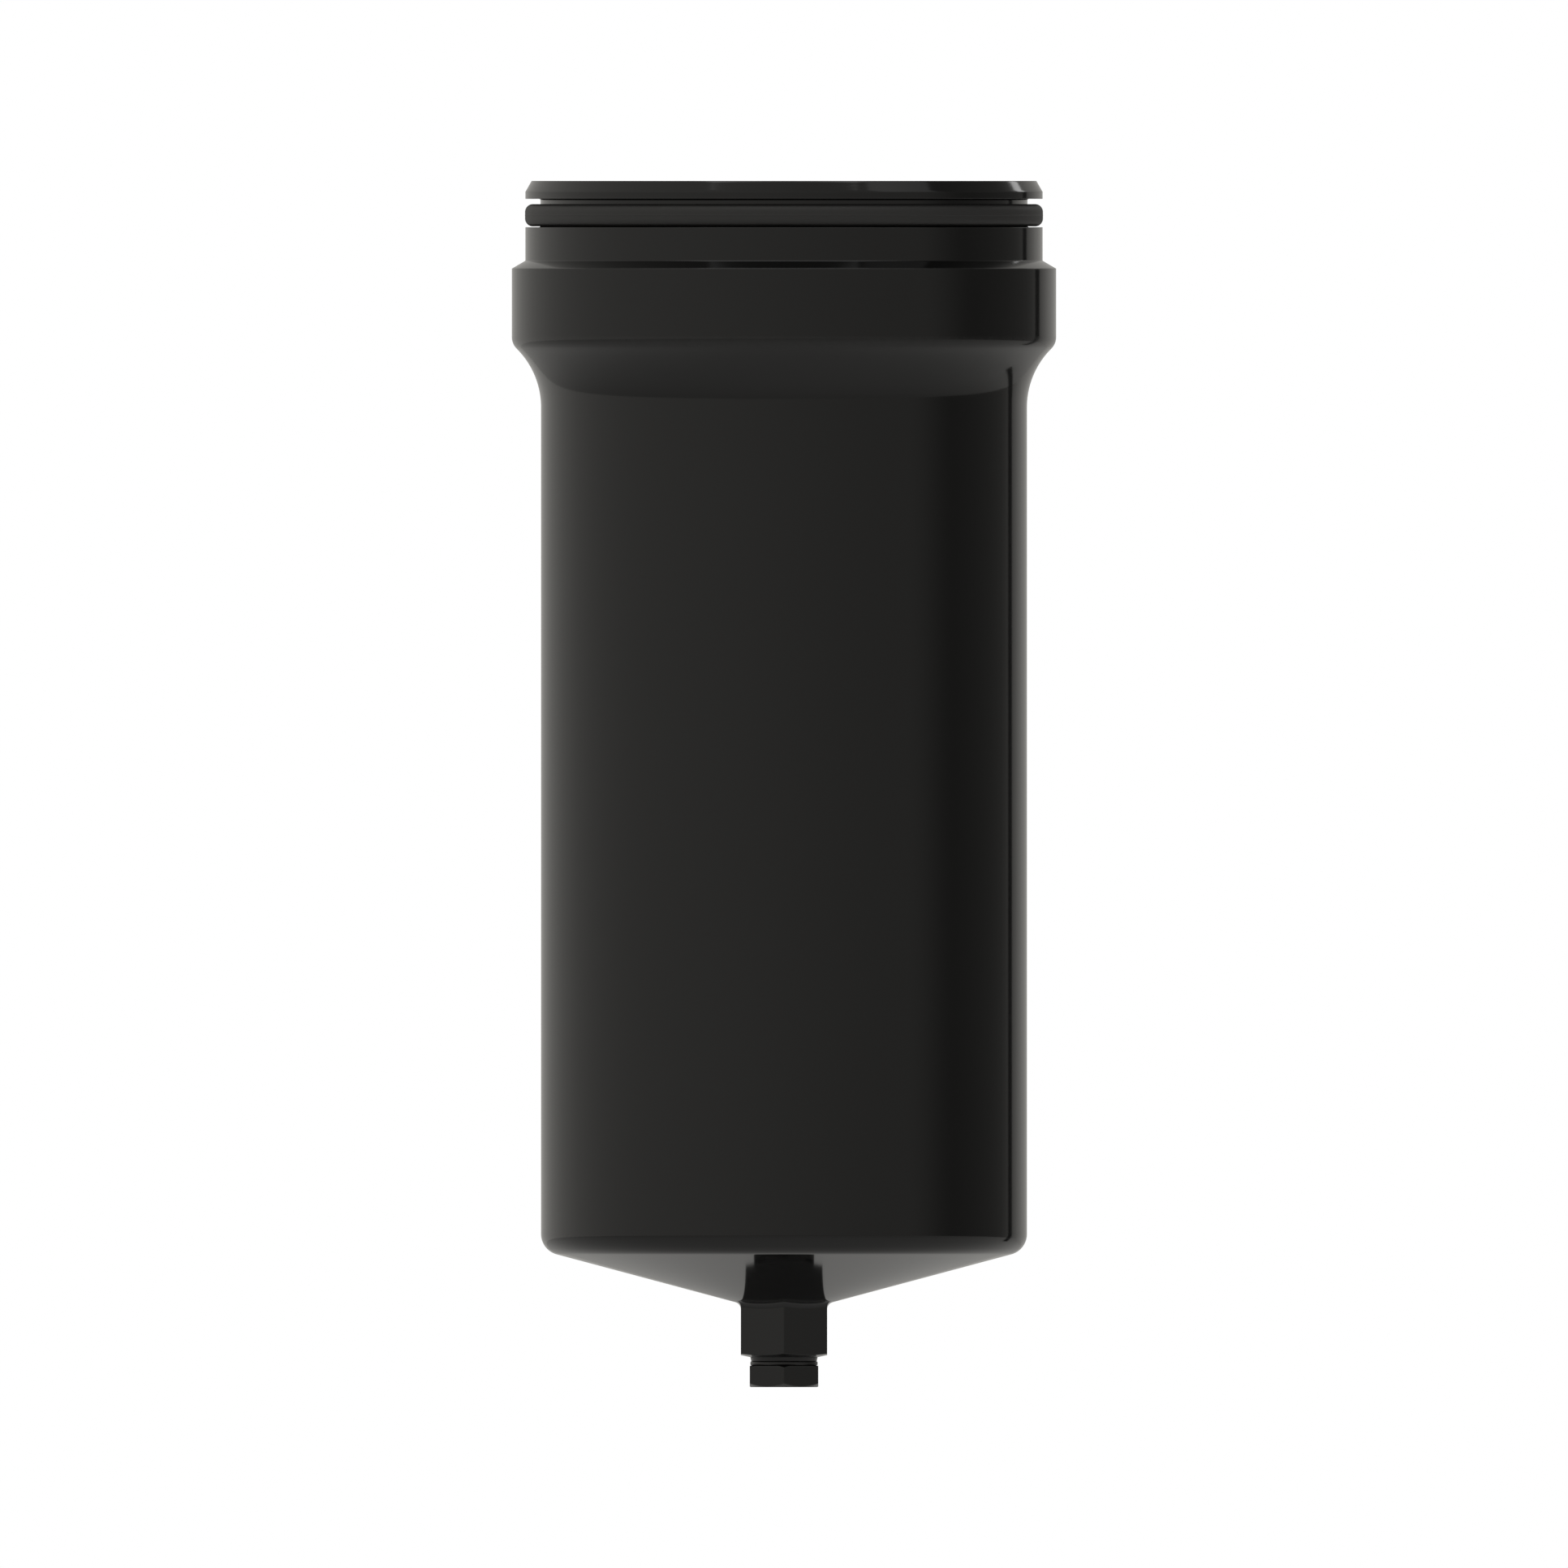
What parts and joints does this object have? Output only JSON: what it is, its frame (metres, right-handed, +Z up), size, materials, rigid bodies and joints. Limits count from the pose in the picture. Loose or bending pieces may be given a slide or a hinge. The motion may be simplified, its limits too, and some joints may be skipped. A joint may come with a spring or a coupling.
{
  "type": "hydraulic reservoir",
  "caption": "Black metal reservoir bowl that hangs from a head by an O-ring sealed neck, with a conical floor and a hexagonal drain valve underneath.",
  "frame": {"origin": "on the bowl's axis, at the shoulder where the neck that plugs into the head meets the collar's chamfer", "axes": "+Z up along the bowl's axis, out of the open mouth; a corner of both hexagons points along -Y, the front, and their flats face +X and -X"},
  "size_m": [0.1008, 0.1008, 0.2234],
  "materials": {
    "bowl_black": "gloss black anodised, turned",
    "valve_black": "black oxide, machined",
    "nitrile_rubber": "satin moulded",
    "small_rubber": "satin moulded",
    "nylon_black": "moulded nylon",
    "ptfe_white": "machined PTFE",
    "stainless": "turned stainless",
    "spring_steel": "drawn wire",
    "wire_cloth": "woven wire"
  },
  "bodies": {
    "bowl": {"reservoir_bowl": "bowl_black", "bowl_o_ring": "nitrile_rubber", "drain_bushing": "valve_black", "bushing_o_ring": "small_rubber", "valve_seat": "stainless", "strainer_frame": "stainless", "strainer_gauze": "wire_cloth", "strainer_clip": "spring_steel"},
    "drain_seals": {"head_washer": "nylon_black", "valve_pad": "ptfe_white"},
    "drain_stem": {"drain_screw": "valve_black", "stem_o_ring": "small_rubber", "stem_clip": "spring_steel"}
  },
  "joints": [
    {"name": "drain_travel", "type": "slide", "parent": "bowl", "child": "drain_seals", "axis": [0, 0, -1], "range_m": [0, 0.0015]},
    {"name": "drain_turn", "type": "hinge", "parent": "drain_seals", "child": "drain_stem", "pos_m": [0, 0, -0.2066], "axis": [0, 0, -1], "range_deg": [0, 540]}
  ],
  "couplings": [
    {"joint": "drain_travel", "follows": "drain_turn", "m_per_rad": 0.00015915}
  ]
}
